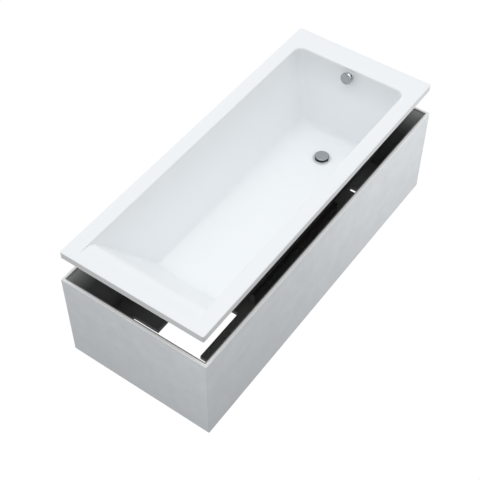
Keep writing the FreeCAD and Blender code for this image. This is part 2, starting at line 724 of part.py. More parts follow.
# Base boards and the bearers that carry the tub floor
board_front_x = base_front_gap - inner_x
foot_board_x = inner_x - foot_board_depth
board_back_x = foot_board_x - base_slot
opening_y = board_half_width - cradle_width - cradle_inset
tab_y = inner_y - base_tab_width
cradle_low_y = opening_y + cradle_inset
cradle_head_x = board_head_x + cradle_head_gap
pad_below = board_thickness + lift_shown + seat_gap
for side, side_name in ((1, "left"), (-1, "right")):
    outline = [
        vec(board_front_x, side * opening_y, 0), vec(board_back_x, side * opening_y, 0),
        vec(board_back_x, side * inner_y, 0), vec(-inner_x, side * inner_y, 0),
        vec(-inner_x, side * tab_y, 0), vec(board_front_x, side * tab_y, 0),
    ]
    save("base_board_" + side_name, prism(outline, up * base_thickness))
    near_y = side * cradle_low_y
    far_y = side * (cradle_low_y + cradle_width)
    cradle = sloped_bar(
        cradle_head_x, board_drain_x, near_y, far_y, pad_below + pad_thickness, lambda x: base_thickness)
    save("cradle_" + side_name, cradle)
    pad = sloped_bar(
        cradle_head_x, board_drain_x, near_y, far_y, pad_below,
        lambda x: under_floor(x, pad_below + pad_thickness))
    save("cradle_pad_" + side_name, pad)

# Foot board: a crosspiece with a tongue between the side boards, cut out where the trap comes down
tongue_head_x = board_front_x + base_cutout_length
well_y = opening_y - tongue_rail_width
foot_outline = [
    vec(inner_x, -inner_y, 0), vec(inner_x, inner_y, 0), vec(foot_board_x, inner_y, 0),
    vec(foot_board_x, opening_y, 0), vec(tongue_head_x, opening_y, 0), vec(tongue_head_x, -opening_y, 0),
    vec(foot_board_x, -opening_y, 0), vec(foot_board_x, -inner_y, 0),
]
trap_well = block(
    vec(outlet_corner.x - pipe_radius - well_gap, -well_y, -cut_overrun),
    vec(drain_x + waste_cup_radius + well_gap, well_y, base_thickness + cut_overrun),
)
save("base_board_foot", prism(foot_outline, up * base_thickness).cut(trap_well))
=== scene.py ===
import math

import bmesh
import bpy
import numpy as np
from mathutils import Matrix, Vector


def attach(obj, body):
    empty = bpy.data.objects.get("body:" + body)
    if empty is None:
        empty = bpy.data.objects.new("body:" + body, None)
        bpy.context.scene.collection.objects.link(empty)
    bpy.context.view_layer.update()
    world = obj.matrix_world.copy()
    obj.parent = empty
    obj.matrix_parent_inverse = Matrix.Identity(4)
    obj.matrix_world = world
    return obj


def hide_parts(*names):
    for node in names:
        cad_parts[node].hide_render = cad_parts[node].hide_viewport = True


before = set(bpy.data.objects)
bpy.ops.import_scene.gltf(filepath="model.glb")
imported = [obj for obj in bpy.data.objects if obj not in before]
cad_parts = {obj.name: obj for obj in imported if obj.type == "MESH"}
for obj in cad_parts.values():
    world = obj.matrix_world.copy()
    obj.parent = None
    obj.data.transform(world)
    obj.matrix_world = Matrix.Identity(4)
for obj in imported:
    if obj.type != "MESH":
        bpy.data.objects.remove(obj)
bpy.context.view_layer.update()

# Carrier box: four rigid foam boards glued at mitred corners and coated all round, so that no joint shows.
# The mineral coat is pale and a little cloudy, with painted shade darker towards the ground and painted light
# on top.
# It ends at the inner edge. Inside, the dark foam is lightened near the top by painted light, but bare at its
# cut edge.
box_half_length = 0.860
box_half_width = 0.364
box_height = 0.478
box_board = 0.018
box_foot_round = 0.001
box_outer_round = 0.003
box_inner_round = 0.002
box_bare_edge = 0.0055
box_corner_round = 0.0035
box_least_round = 0.0006
box_corner_steps = 4
box_edge_steps = 6
weld_distance = 2e-6


def rounded_loop(half_x, half_y, radius):
    """Points round a rectangle in plan, anticlockwise, each corner a quarter circle of the radius."""
    turn = np.linspace(0.0, np.pi / 2, box_corner_steps + 1)
    quarter = np.arange(4)[:, None] * np.pi / 2 + turn[None, :]
    side_x = np.array([1, -1, -1, 1])[:, None]
    side_y = np.array([1, 1, -1, -1])[:, None]
    x = side_x * (half_x - radius) + radius * np.cos(quarter)
    y = side_y * (half_y - radius) + radius * np.sin(quarter)
    return np.stack([x.ravel(), y.ravel()], axis=1)


def grid_faces(rows, columns, close_rows, close_columns):
    """Four-cornered faces of a grid of points, numbered row by row, joined round where it closes."""
    row = np.arange(rows if close_rows else rows - 1)[:, None]
    column = np.arange(columns if close_columns else columns - 1)[None, :]
    next_row = (row + 1) % rows
    next_column = (column + 1) % columns
    corners = [row * columns + column, row * columns + next_column,
               next_row * columns + next_column, next_row * columns + column]
    return np.stack([np.broadcast_to(corner, (row.size, column.size)).ravel() for corner in corners], axis=1)


def skin(name, sheets, finishes, crease_deg=32.0):
    """One closed mesh from several sheets, welded where they meet, and sharp where it turns past the crease.

    Each sheet is its points, its faces and the number of its finish."""
    starts = np.cumsum([0] + [len(points) for points, _, _ in sheets])
    points = np.concatenate([points for points, _, _ in sheets])
    faces = np.concatenate([faces + start for (_, faces, _), start in zip(sheets, starts)])
    slots = np.concatenate([np.full(len(faces), slot) for _, faces, slot in sheets])
    mesh = bpy.data.meshes.new(name)
    mesh.from_pydata(points.tolist(), [], faces.tolist())
    for finish in finishes:
        mesh.materials.append(finish)
    mesh.polygons.foreach_set("material_index", slots.astype(np.int32))
    work = bmesh.new()
    work.from_mesh(mesh)
    bmesh.ops.remove_doubles(work, verts=work.verts, dist=weld_distance)
    bmesh.ops.dissolve_degenerate(work, edges=work.edges, dist=weld_distance)
    bmesh.ops.recalc_face_normals(work, faces=work.faces)
    work.to_mesh(mesh)
    work.free()
    mesh.shade_smooth()
    mesh.set_sharp_from_angle(angle=math.radians(crease_deg))
    piece = bpy.data.objects.new(name, mesh)
    bpy.context.scene.collection.objects.link(piece)
    return piece


def new_finish(name):
    """An empty procedural finish: the material, its node tree and its shader."""
    finish = bpy.data.materials.new(name)
    finish.use_nodes = True
    tree = finish.node_tree
    return finish, tree, tree.nodes["Principled BSDF"]


def noise_on(tree, scale, stretch=(1.0, 1.0, 1.0), detail=4.0):
    """Cloudy noise in the object's own metres, stretched along its axes."""
    where = tree.nodes.new("ShaderNodeTexCoord")
    mapping = tree.nodes.new("ShaderNodeMapping")
    mapping.inputs["Scale"].default_value = stretch
    noise = tree.nodes.new("ShaderNodeTexNoise")
    noise.inputs["Scale"].default_value = scale
    noise.inputs["Detail"].default_value = detail
    noise.inputs["Roughness"].default_value = 0.55
    tree.links.new(where.outputs["Object"], mapping.inputs["Vector"])
    tree.links.new(mapping.outputs["Vector"], noise.inputs["Vector"])
    return noise.outputs["Fac"]


def place_on(tree, axis):
    """Place along one axis in the object's own metres."""
    where = tree.nodes.new("ShaderNodeTexCoord")
    split = tree.nodes.new("ShaderNodeSeparateXYZ")
    tree.links.new(where.outputs["Object"], split.inputs["Vector"])
    return split.outputs[axis]


def ranged(tree, value, low, high, to_low, to_high):
    """A value carried in a straight line from one range to another, and held at its ends."""
    span = tree.nodes.new("ShaderNodeMapRange")
    span.inputs["From Min"].default_value = low
    span.inputs["From Max"].default_value = high
    span.inputs["To Min"].default_value = to_low
    span.inputs["To Max"].default_value = to_high
    tree.links.new(value, span.inputs["Value"])
    return span.outputs["Result"]


def spread(tree, noise, to_low=0.0, to_high=1.0):
    """The middle of a noise, where most of its values lie, carried to a whole range."""
    return ranged(tree, noise, 0.3, 0.7, to_low, to_high)


def product(tree, first, second):
    """Two values multiplied."""
    times = tree.nodes.new("ShaderNodeMath")
    times.operation = "MULTIPLY"
    tree.links.new(first, times.inputs[0])
    tree.links.new(second, times.inputs[1])
    return times.outputs["Value"]


def blended(tree, share, first, second):
    """Two tones, or what makes them, mixed by a share."""
    mix = tree.nodes.new("ShaderNodeMix")
    mix.data_type = "RGBA"
    tree.links.new(share, mix.inputs["Factor"])
    for socket, tone in ((mix.inputs[6], first), (mix.inputs[7], second)):
        if isinstance(tone, tuple):
            socket.default_value = (*tone, 1.0)
        else:
            tree.links.new(tone, socket)
    return mix.outputs[2]


def relief(tree, shader, height, strength, distance):
    """A fine bump on the surface from a height."""
    bump = tree.nodes.new("ShaderNodeBump")
    bump.inputs["Strength"].default_value = strength
    bump.inputs["Distance"].default_value = distance
    tree.links.new(height, bump.inputs["Height"])
    tree.links.new(bump.outputs["Normal"], shader.inputs["Normal"])


def grained_finish(name, first, second, scale, rough, bump=None, metal=0.0):
    """Two tones mixed by one noise, which also varies the roughness and may lift a fine bump."""
    finish, tree, shader = new_finish(name)
    grain = noise_on(tree, scale)
    tree.links.new(blended(tree, spread(tree, grain), first, second), shader.inputs["Base Color"])
    tree.links.new(ranged(tree, grain, 0.25, 0.75, *rough), shader.inputs["Roughness"])
    shader.inputs["Metallic"].default_value = metal
    if bump:
        relief(tree, shader, grain, *bump)
    return finish


coat, tree, shader = new_finish("mineral_coat")
height = place_on(tree, "Z")
streak = spread(tree, noise_on(tree, 3.2, (1.0, 1.0, 0.35), 3.0))
coat_tone = blended(tree, streak, (0.868, 0.908, 0.936), (0.886, 0.924, 0.950))
cloud = spread(tree, noise_on(tree, 15.0, detail=3.0))
coat_tone = blended(tree, cloud, coat_tone, (0.818, 0.856, 0.884))
# Painted shade: the coat is darkened towards the ground.
coat_ground_shade = ranged(tree, height, 0.0, 0.40, 0.35, 0.0)
coat_tone = blended(tree, coat_ground_shade, coat_tone, (0.690, 0.725, 0.750))
# Painted light: the coat's top edge is lightened.
coat_top_light = ranged(tree, height, box_height - 0.0035, box_height - 0.001, 0.0, 1.0)
coat_tone = blended(tree, coat_top_light, coat_tone, (0.970, 0.978, 0.984))
speck = noise_on(tree, 420.0, detail=2.0)
grit = ranged(tree, speck, 0.62, 0.8, 0.0, 0.3)
tree.links.new(blended(tree, grit, coat_tone, (0.78, 0.80, 0.81)), shader.inputs["Base Color"])
tree.links.new(spread(tree, speck, 0.62, 0.8), shader.inputs["Roughness"])
shader.inputs["Specular IOR Level"].default_value = 0.3
relief(tree, shader, speck, 0.25, 0.0004)

raw_foam, tree, shader = new_finish("raw_foam")
height = place_on(tree, "Z")
cell = noise_on(tree, 260.0, detail=3.0)
foam_tone = blended(tree, spread(tree, cell), (0.235, 0.239, 0.244), (0.285, 0.289, 0.294))
# Painted light: the inner foam is lightened towards the top of the wall.
foam_top_light = ranged(tree, height, 0.30, 0.45, 0.0, 1.0)
foam_lit_tone = blended(tree, foam_top_light, foam_tone, (0.90, 0.92, 0.93))
cut_edge = ranged(tree, height, box_height - 0.007, box_height - 0.003, 0.0, 1.0)
tree.links.new(blended(tree, cut_edge, foam_lit_tone, foam_tone), shader.inputs["Base Color"])
tree.links.new(spread(tree, cell, 0.75, 0.95), shader.inputs["Roughness"])
shader.inputs["Specular IOR Level"].default_value = 0.2
relief(tree, shader, cell, 0.4, 0.0006)

# Section of the wall, up the outside and down the inside: how far in from the outer face, and how high
edge_turn = np.linspace(0.0, np.pi / 2, box_edge_steps + 1)
edge_in = 1 - np.cos(edge_turn)
edge_up = 1 - np.sin(edge_turn)
wall_in = np.concatenate([
    box_foot_round * edge_in[::-1],
    box_outer_round * edge_in,
    [box_board - box_bare_edge],
    box_board - box_inner_round * edge_in[::-1],
    box_board - box_foot_round * edge_in,
])
wall_up = np.concatenate([
    box_foot_round * edge_up[::-1],
    box_height - box_outer_round * edge_up,
    [box_height],
    box_height - box_inner_round * edge_up[::-1],
    box_foot_round * edge_up,
])
wall_round = np.maximum(box_corner_round - wall_in, box_least_round)
loops = [rounded_loop(box_half_length - inset, box_half_width - inset, radius)
         for inset, radius in zip(wall_in, wall_round)]
wall_points = np.concatenate([np.column_stack([loop, np.full(len(loop), z)])
                              for loop, z in zip(loops, wall_up)])
wall_faces = grid_faces(len(wall_in), len(loops[0]), True, True)
inside = np.arange(len(wall_faces)) // len(loops[0]) >= 2 * len(edge_turn)
carrier_box = skin("carrier_box",
                   [(wall_points, wall_faces[~inside], 0), (wall_points, wall_faces[inside], 1)],
                   [coat, raw_foam])
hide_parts("carrier_wall_head", "carrier_wall_foot", "carrier_wall_left", "carrier_wall_right")
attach(carrier_box, "carrier")

# Base boards and bearers: dark fibre board let in between the walls, with an opening for pipes.
# Two bearers glued on it take the weight of the tub through strips of rubber.
fibre_board = grained_finish("fibre_board", (0.225, 0.230, 0.236), (0.278, 0.283, 0.289), 180.0,
                             rough=(0.8, 0.95), bump=(0.5, 0.0008))
pad_rubber = grained_finish("ribbed_rubber", (0.050, 0.050, 0.051), (0.075, 0.075, 0.076), 90.0,
                            rough=(0.55, 0.75), bump=(0.3, 0.0005))


def dress(finish, *names):
    """Gives carried-over solids their finish."""
    for name in names:
        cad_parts[name].material_slots[0].material = finish


dress(fibre_board, "base_board_left", "base_board_right", "base_board_foot", "cradle_left", "cradle_right")
dress(pad_rubber, "cradle_pad_left", "cradle_pad_right")

# Tub shell: one sheet of white acrylic drawn into a mould, with a flat rim, a turned-down lip, a headrest, a
# sloping backrest, drafted sides and a floor with a dish for the drain. Resin and glass back it, dark with
# painted shade. Painted shade deepens the acrylic's tone on the rim and high on the foot wall, and most on
# the lip. Its sizes are in millimetres.
rim_z = 650.0
rim_half_length = 850.0
rim_half_width = 350.0
rim_corner = 8.0
rim_edge = 2.5
lip_z = 616.0
lip_foot_edge = 0.6
shell = 5.0
mouth_half_width = 283.0
mouth_roll = 5.0
mouth_roll_limit = 0.15
side_draft = math.radians(11.0)
x_foot = 732.0
foot_draft = math.radians(6.8)
foot_fillet = 40.0
overflow_drop = 44.0
overflow_hole = 24.0
drain_x = 532.0
floor_z = 242.0
floor_fall = 0.01
head_x = -800.0
headrest_length = 68.0
headrest_fall = math.tan(math.radians(12.6))
backrest_fall = math.tan(math.radians(53.2))
bed_slopes = np.array([0.0, -headrest_fall, -backrest_fall, -floor_fall])
bed_through = np.array([(head_x, rim_z), (head_x, rim_z),
                        (head_x + headrest_length, rim_z - headrest_length * headrest_fall),
                        (drain_x, floor_z)])
bed_radii = np.array([226.0, 70.0, 34.0])
bed_bulge = np.array([1.0, 1.0, -1.0])
bed_steps = (8, 4, 14, 14, 14, 16)
bend_turn = math.pi / 2 - side_draft
bend_tight_turn = math.radians(55.0)
bend_tight_share = 0.25
bend_wide_share = 3.6
bend_least_radius = 1.5
bend_radius_gain = 60.5
bend_limit = 0.8
bend_fade_length = 700.0
bend_plain_x = 420.0
run_on_x = 500.0
side_rows = 10
bend_rows = 10
flat_rows = 24
flat_from = side_rows + bend_rows
flat_to = flat_from + flat_rows
corner_rows = 12
foot_columns = 24
drain_rows = 16
hole_rows = 6
plate_rows = 5
roll_rows = 6
rim_edge_rows = 5
side_steps = np.linspace(0, 1, side_rows + 1)[None, :]
bend_angles = -side_draft - np.linspace(0, 1, bend_rows + 1)[None, 1:] * bend_turn
foot_steps = np.linspace(1, -1, foot_columns + 1)[:, None]
foot_normal = np.array([-math.cos(foot_draft), 0.0, math.sin(foot_draft)])
foot_rise = np.array([math.sin(foot_draft), 0.0, math.cos(foot_draft)])
mirror = np.array([1.0, -1.0, 1.0])

# The dish round the drain, inside and below: radius of each ring, and its share of the way down to the base
inner_dish = np.array([(48.0, 0.0), (46.4, 0.06), (44.5, 0.2), (41.5, 0.5), (38.5, 0.8), (36.6, 0.94),
                       (35.0, 1.0), (26.5, 1.0), (26.0, 1.0)])
outer_dish = np.array([(52.0, 0.0), (52.0, 1.0), (26.0, 1.0)])
inner_dish_z = floor_z - 5.0
outer_dish_z = floor_z - 10.0


def bed_arcs(grow):
    """Corner arcs of the bed, seen from the side: where each begins and ends, its centre and radius.

    The bed is a chain of straight lines moved outwards by the growth, and each corner is a tangent arc."""
    level = bed_through[:, 1] - bed_slopes * bed_through[:, 0] - grow * np.hypot(1, bed_slopes)
    corner = (level[1:] - level[:-1]) / (bed_slopes[:-1] - bed_slopes[1:])
    lean = np.arctan(bed_slopes)
    radius = bed_radii - bed_bulge * grow
    reach = radius * np.tan(np.abs(lean[1:] - lean[:-1]) / 2)
    enter = corner - reach * np.cos(lean[:-1])
    leave = corner + reach * np.cos(lean[1:])
    centre_x = enter + bed_bulge * radius * np.sin(lean[:-1])
    centre_z = level[:-1] + bed_slopes[:-1] * enter - bed_bulge * radius * np.cos(lean[:-1])
    return level, enter, leave, centre_x, centre_z, radius


def bed_height(x, grow):
    """Height of the bed at stations x: the line or the arc that each one falls on."""
    level, enter, leave, centre_x, centre_z, radius = bed_arcs(grow)
    height = level[0] + bed_slopes[0] * x
    for i in range(len(bed_radii)):
        arc_z = centre_z[i] + bed_bulge[i] * np.sqrt(np.maximum(radius[i] ** 2 - (x - centre_x[i]) ** 2, 0))
        line_z = level[i + 1] + bed_slopes[i + 1] * x
        height = np.where(x >= enter[i], np.where(x < leave[i], arc_z, line_z), height)
    return height


def half_width(z, grow):
    """Half the width of the basin between its sides, which draw in with the depth at their draft."""
    return mouth_half_width - math.tan(side_draft) * (rim_z - z) + grow / math.cos(side_draft)


def cross_sections(grow, top, roll):
    """Sections across one skin of the basin, from the head to where the bends are plain, and one further on.

    Each has two straight drafted sides, two bends and a flat bed. A bend is a tight arc next to the side and
    a wide one next to the bed. Their radii open with the depth and become one towards the foot."""
    enter, leave = bed_arcs(grow)[1:3]
    ends = np.append(np.column_stack([enter, leave]).ravel(), bend_plain_x)
    spans = [np.linspace(*span, endpoint=False) for span in zip(ends[:-1], ends[1:], bed_steps)]
    x = np.concatenate(spans + [[bend_plain_x, run_on_x]])
    bed = np.minimum(bed_height(x, grow), top)
    full = (top - bed) / math.cos(side_draft)

    bend_tan = math.tan(bend_turn / 2)
    depth = np.clip((rim_z - bed_height(x, 0)) / (rim_z - bed_height(leave[2:3], grow)), 0, 1)
    radius = bend_least_radius + bend_radius_gain * depth + grow
    radius = np.minimum(radius, bend_limit * full / bend_tan)
    crisp = np.clip((bend_plain_x - x) / bend_fade_length, 0, 1)
    tight = (1 + crisp * (bend_tight_share - 1)) * (radius - grow) + grow
    wide = (1 + crisp * (bend_wide_share - 1)) * (radius - grow) + grow
    tight_run = tight * math.tan(bend_tight_turn / 2)
    wide_run = wide * math.tan((bend_turn - bend_tight_turn) / 2)
    chord = (tight_run + wide_run) / math.sin(bend_turn)
    side_reach = tight_run + chord * math.sin(bend_turn - bend_tight_turn)
    flat_reach = wide_run + chord * math.sin(bend_tight_turn)

    rolled = np.minimum(roll * bend_tan, mouth_roll_limit * full)
    down = rolled[:, None] + side_steps * (full - side_reach - rolled)[:, None]
    side_z = top - down * math.cos(side_draft)
    side_y = half_width(side_z, grow)
    flat = half_width(bed, grow) - flat_reach
    join = -side_draft - bend_tight_turn
    shift = np.where(bend_angles > join, (wide - tight)[:, None], 0)
    arc_radius = wide[:, None] - shift
    bend_y = flat[:, None] + shift * math.cos(join) + arc_radius * np.cos(bend_angles)
    bend_z = (bed + wide)[:, None] + shift * math.sin(join) + arc_radius * np.sin(bend_angles)
    flat_y = flat[:, None] * np.linspace(1, -1, flat_rows + 1)[None, 1:]
    flat_z = np.repeat(bed[:, None], flat_rows, 1)
    y = np.concatenate([side_y, bend_y, flat_y, -bend_y[:, -2::-1], -side_y[:, ::-1]], 1)
    z = np.concatenate([side_z, bend_z, flat_z, bend_z[:, -2::-1], side_z[:, ::-1]], 1)
    return np.stack([np.repeat(x[:, None], y.shape[1], 1), y, z], 2)


def foot_point(grow):
    """A point of the foot wall's plane on the middle line, moved outwards by the growth."""
    return np.array([x_foot, 0.0, rim_z]) - grow * foot_normal


def great_arcs(normals):
    """Unit vectors turned in even steps from each given normal to the foot wall's, along great circles."""
    angle = np.arccos(normals @ foot_normal)[:, None]
    swing = np.linspace(0, 1, corner_rows + 1)[:, None, None]
    return (np.sin((1 - swing) * angle) * normals + np.sin(swing * angle) * foot_normal) / np.sin(angle)


def foot_corner(last, beyond, grow, top, roll):
    """The rounding between basin and foot wall, its mouth line, and the way that each row of it faces.

    A ball of the fillet's radius rolls along sides, bends and floor against the leaning wall. The rounding is
    the great circle on it between the two points that it touches. The upright corners start at the mouth."""
    sine = math.sin(side_draft)
    cosine = math.cos(side_draft)
    ball = foot_fillet + grow
    wall = foot_point(grow)
    run = (beyond - last) / (beyond[:, :1] - last[:, :1])
    across = np.zeros_like(last)
    across[:side_rows + 1] = (0, -sine, -cosine)
    across[side_rows + 1:flat_from + 1, 1] = np.sin(bend_angles[0])
    across[side_rows + 1:flat_from + 1, 2] = -np.cos(bend_angles[0])
    across[flat_from + 1:flat_to + 1] = (0, -1, 0)
    across[flat_to + 1:] = across[:flat_from][::-1] * (1, 1, -1)
    normal = np.cross(across, run)
    normal /= np.linalg.norm(normal, axis=1)[:, None]
    slide = (ball - (last + ball * normal - wall) @ foot_normal) / (run @ foot_normal)
    centre = last + slide[:, None] * run + ball * normal
    fillet = centre[None] - ball * great_arcs(normal)

    facing = great_arcs(np.array([[0.0, -cosine, sine]]))[:, 0]

    def upright(z):
        """Points of the upright corner whose contact with the side lies at heights z."""
        core_z = z + ball * sine
        core_x = wall[0] - (ball - foot_normal[2] * (core_z - wall[2])) / math.cos(foot_draft)
        core = np.stack([core_x, half_width(z, grow) - ball * cosine, core_z], -1)
        return core - ball * facing[:, None, :]

    touch_top = top - (ball * (sine - facing[:, 2]))[:, None]
    roll_drop = roll * np.tan((np.pi / 2 - np.arcsin(facing[:, 2])) / 2)
    start = touch_top - roll_drop[:, None] * cosine
    corner = upright(start + side_steps * (fillet[0, side_rows, 2] - start))
    fillet[:, :side_rows + 1] = corner
    fillet[:, -side_rows - 1:] = corner[:, ::-1] * mirror
    return fillet, upright(touch_top)[:, 0], facing


def across_foot(point):
    """A straight row of points across the foot, from a point on one side to its mirror image on the other."""
    return point * np.hstack([np.ones_like(foot_steps), foot_steps, np.ones_like(foot_steps)])


def foot_plate(last_row, grow):
    """The leaning foot wall: straight lines from its outline to the circle of the overflow hole."""
    outline = np.concatenate([last_row, across_foot(last_row[0])[-2:0:-1]])
    hole = foot_point(grow) + foot_rise * (-overflow_drop / math.cos(foot_draft))
    spoke = np.stack([(outline - hole)[:, 1], (outline - hole) @ foot_rise], 1)
    spoke /= np.linalg.norm(spoke, axis=1)[:, None]
    ring = hole + overflow_hole * (spoke[:, :1] * np.array([0.0, 1.0, 0.0]) + spoke[:, 1:] * foot_rise)
    return outline + np.linspace(0, 1, hole_rows + 1)[:, None, None] * (ring - outline)


def drain_plate(body, grow, dish, dish_z):
    """The floor round the drain: straight lines from a rectangle of the bed to a circle, then the dish.

    Each ring of the dish lies at its share of the way from the sloping floor down to the base."""
    patch = body[-drain_rows - 1:, flat_from:flat_to + 1]
    outline = np.concatenate([patch[0], patch[1:, -1], patch[-1, -2::-1], patch[-2:0:-1, 0]])
    spoke = outline[:, :2] - (drain_x, 0.0)
    spoke /= np.linalg.norm(spoke, axis=1)[:, None]
    radius, share = dish.T[:, :, None]
    x = drain_x + radius * spoke[:, 0]
    floor = floor_z + floor_fall * (drain_x - x) - grow * math.hypot(1, floor_fall)
    rings = np.stack([x, radius * spoke[:, 1], floor * (1 - share) + dish_z * share], 2)
    part = np.arange(plate_rows)[:, None, None] / plate_rows
    return np.concatenate([outline + part * (rings[0] - outline), rings])


def rolled_mouth(body, fillet, corner_mouth, facing, grow, top):
    """The mouth's edge round sides and foot: a conic arc from the rim's plane to the first row below it."""
    stations = len(body)
    level = np.full(stations, top)
    side_mouth = np.stack([body[:, 0, 0], half_width(level, grow), level], 1)
    mouth = np.concatenate([side_mouth, corner_mouth[1:], across_foot(corner_mouth[-1])[1:-1]])
    first_row = np.concatenate([body[:, 0], fillet[1:, 0], across_foot(fillet[-1, 0])[1:-1]])
    out = np.zeros_like(mouth)
    out[:stations, 1] = 1
    out[stations:stations + corner_rows] = -facing[1:] * (1, 1, 0)
    out[stations + corner_rows:, 0] = 1
    out /= np.linalg.norm(out, axis=1)[:, None]
    back = slice(stations + corner_rows - 1, None, -1)
    mouth, first_row, out = [np.concatenate([line, line[back] * mirror]) for line in (mouth, first_row, out)]
    legs = np.linalg.norm(first_row - mouth, axis=1)[:, None]
    begin = mouth + out * legs
    fall = (first_row - mouth) / np.maximum(legs, 1e-9)
    weight = np.cos(np.arccos(np.clip(np.sum(-out * fall, 1), -1, 1)) / 2)[:, None]
    along = np.linspace(0, 1, roll_rows + 1)[:, None, None]
    pull = 2 * weight * along * (1 - along)
    conic = (1 - along) ** 2 * begin + pull * mouth + along ** 2 * first_row
    return conic / ((1 - along) ** 2 + pull + along ** 2)


def sheet(points, close_columns=False, keep=None):
    """A grid of points as a sheet: flat list and faces, without those left out."""
    rows, columns = points.shape[:2]
    faces = grid_faces(rows, columns, False, close_columns)
    return points.reshape(-1, 3), faces if keep is None else faces[keep]


def rim_loop(inset, z, stations):
    """The rim's outline, inset, with a point for each of the mouth's.

    It goes along one long side, round the foot and back along the other side, and then round the head."""
    radius = rim_corner - inset
    core_x = rim_half_length - rim_corner
    core_y = rim_half_width - rim_corner
    turn = np.linspace(0, np.pi / 2, corner_rows + 1)[1:]
    side = np.column_stack([np.linspace(-core_x, core_x, stations), np.full(stations, core_y + radius)])
    corner = np.column_stack([core_x + radius * np.sin(turn), core_y + radius * np.cos(turn)])
    foot = np.column_stack([np.full(foot_columns - 1, core_x + radius), core_y * foot_steps[1:-1]])
    back = np.concatenate([side, corner])[::-1] * (1, -1)
    head_y = core_y * np.linspace(-1, 1, flat_rows + 1)[1:-1]
    head = np.column_stack([np.full(flat_rows - 1, -core_x - radius), head_y])
    loop = np.concatenate([side, corner, foot, back, -corner, head, corner[::-1] * (-1, 1)])
    return np.column_stack([loop, np.full(len(loop), z)])


def mouth_loop(mouth, head_row):
    """The mouth's outline with the head edge, its two head corners repeated to meet the rim's corner arcs."""
    right = np.repeat(mouth[-1:], corner_rows, 0)
    left = np.repeat(mouth[:1], corner_rows, 0)
    return np.concatenate([mouth, right, head_row[flat_from + 1:flat_to][::-1], left])


sheets = []
hole_rings = []
mouth_loops = []
for finish_number, grow, top, roll, dish, dish_z in (
        (0, 0.0, rim_z, mouth_roll, inner_dish, inner_dish_z),
        (1, shell, rim_z - shell, 0.0, outer_dish, outer_dish_z)):
    sections = cross_sections(grow, top, roll)
    last = sections[-2]
    fillet, corner_mouth, facing = foot_corner(last, sections[-1], grow, top, roll)
    ahead = np.linspace(0, 1, drain_rows + 1)[1:, None, None]
    body = np.concatenate([sections[:-1], last + ahead * (fillet[0] - last)])
    stations, columns = body.shape[:2]
    quad_row, quad_column = np.divmod(np.arange((stations - 1) * (columns - 1)), columns - 1)
    in_patch = (quad_row >= stations - drain_rows - 1) & (quad_column >= flat_from) & (quad_column < flat_to)
    foot_wall = foot_plate(fillet[-1], grow)
    rolled_edge = rolled_mouth(body, fillet, corner_mouth, facing, grow, top)
    plate = drain_plate(body, grow, dish, dish_z)
    sheets.append((*sheet(body, keep=~in_patch), finish_number))
    sheets.append((*sheet(fillet), finish_number))
    sheets.append((*sheet(foot_wall, True), finish_number))
    if roll > 0:
        sheets.append((*sheet(rolled_edge), finish_number))
    sheets.append((*sheet(plate, True), finish_number))
    hole_rings.append((foot_wall[-1], plate[-1]))
    mouth_loops.append(mouth_loop(rolled_edge[0], body[0]))
for upper, lower in zip(*hole_rings):
    sheets.append((*sheet(np.stack([upper, lower]), True), 0))

edge_turn = np.linspace(0, np.pi / 2, rim_edge_rows + 1)
edge_rings = [rim_loop(rim_edge * (1 - math.sin(turn)), rim_z - rim_edge * (1 - math.cos(turn)), stations)
              for turn in edge_turn]
lip_rings = [edge_rings[-1], rim_loop(0.0, lip_z + lip_foot_edge, stations),
             rim_loop(lip_foot_edge, lip_z, stations)]
under_rings = [lip_rings[-1], rim_loop(shell, lip_z, stations),
               rim_loop(shell, rim_z - shell, stations), mouth_loops[1]]
sheets.append((*sheet(np.stack([mouth_loops[0]] + edge_rings), True), 0))
sheets.append((*sheet(np.stack(lip_rings), True), 2))
sheets.append((*sheet(np.stack(under_rings), True), 1))

acrylic, tree, shader = new_finish("white_acrylic")
height = place_on(tree, "Z")
# Painted shade: the acrylic is darkened high on the foot wall.
at_foot = ranged(tree, place_on(tree, "X"), 0.62, 0.70, 0.0, 1.0)
foot_wall_shade = product(tree, at_foot, ranged(tree, height, 0.48, 0.65, 0.0, 1.0))
basin_tone = blended(tree, foot_wall_shade, (0.931, 0.956, 0.975), (0.812, 0.836, 0.855))
# Painted shade: the rim's acrylic is darkened.
rim_shade = ranged(tree, height, 0.636, 0.6485, 0.0, 1.0)
tree.links.new(blended(tree, rim_shade, basin_tone, (0.892, 0.921, 0.946)), shader.inputs["Base Color"])
drift = noise_on(tree, 2.4, detail=2.0)
tree.links.new(ranged(tree, drift, 0.0, 1.0, 0.285, 0.335), shader.inputs["Roughness"])
shader.inputs["IOR"].default_value = 1.49
shader.inputs["Specular IOR Level"].default_value = 0.4
# Painted shade: the lip is a darker copy of the acrylic.
lip_painted_shade_acrylic = grained_finish("lip_painted_shade_acrylic", (0.735, 0.753, 0.766), (0.750, 0.766, 0.778), 2.4,
                              rough=(0.29, 0.33))
# Resin and glass backing, its dark tone painted shade.
backing = grained_finish("glass_resin_backing_and_painted_shade", (0.195, 0.198, 0.202), (0.250, 0.253, 0.257), 45.0,
                         rough=(0.6, 0.85), bump=(0.6, 0.002))
tub_skin = skin("tub_skin", [(points / 1000, faces, slot) for points, faces, slot in sheets],
                [acrylic, backing, lip_painted_shade_acrylic])
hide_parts("tub_shell")
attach(tub_skin, "tub")

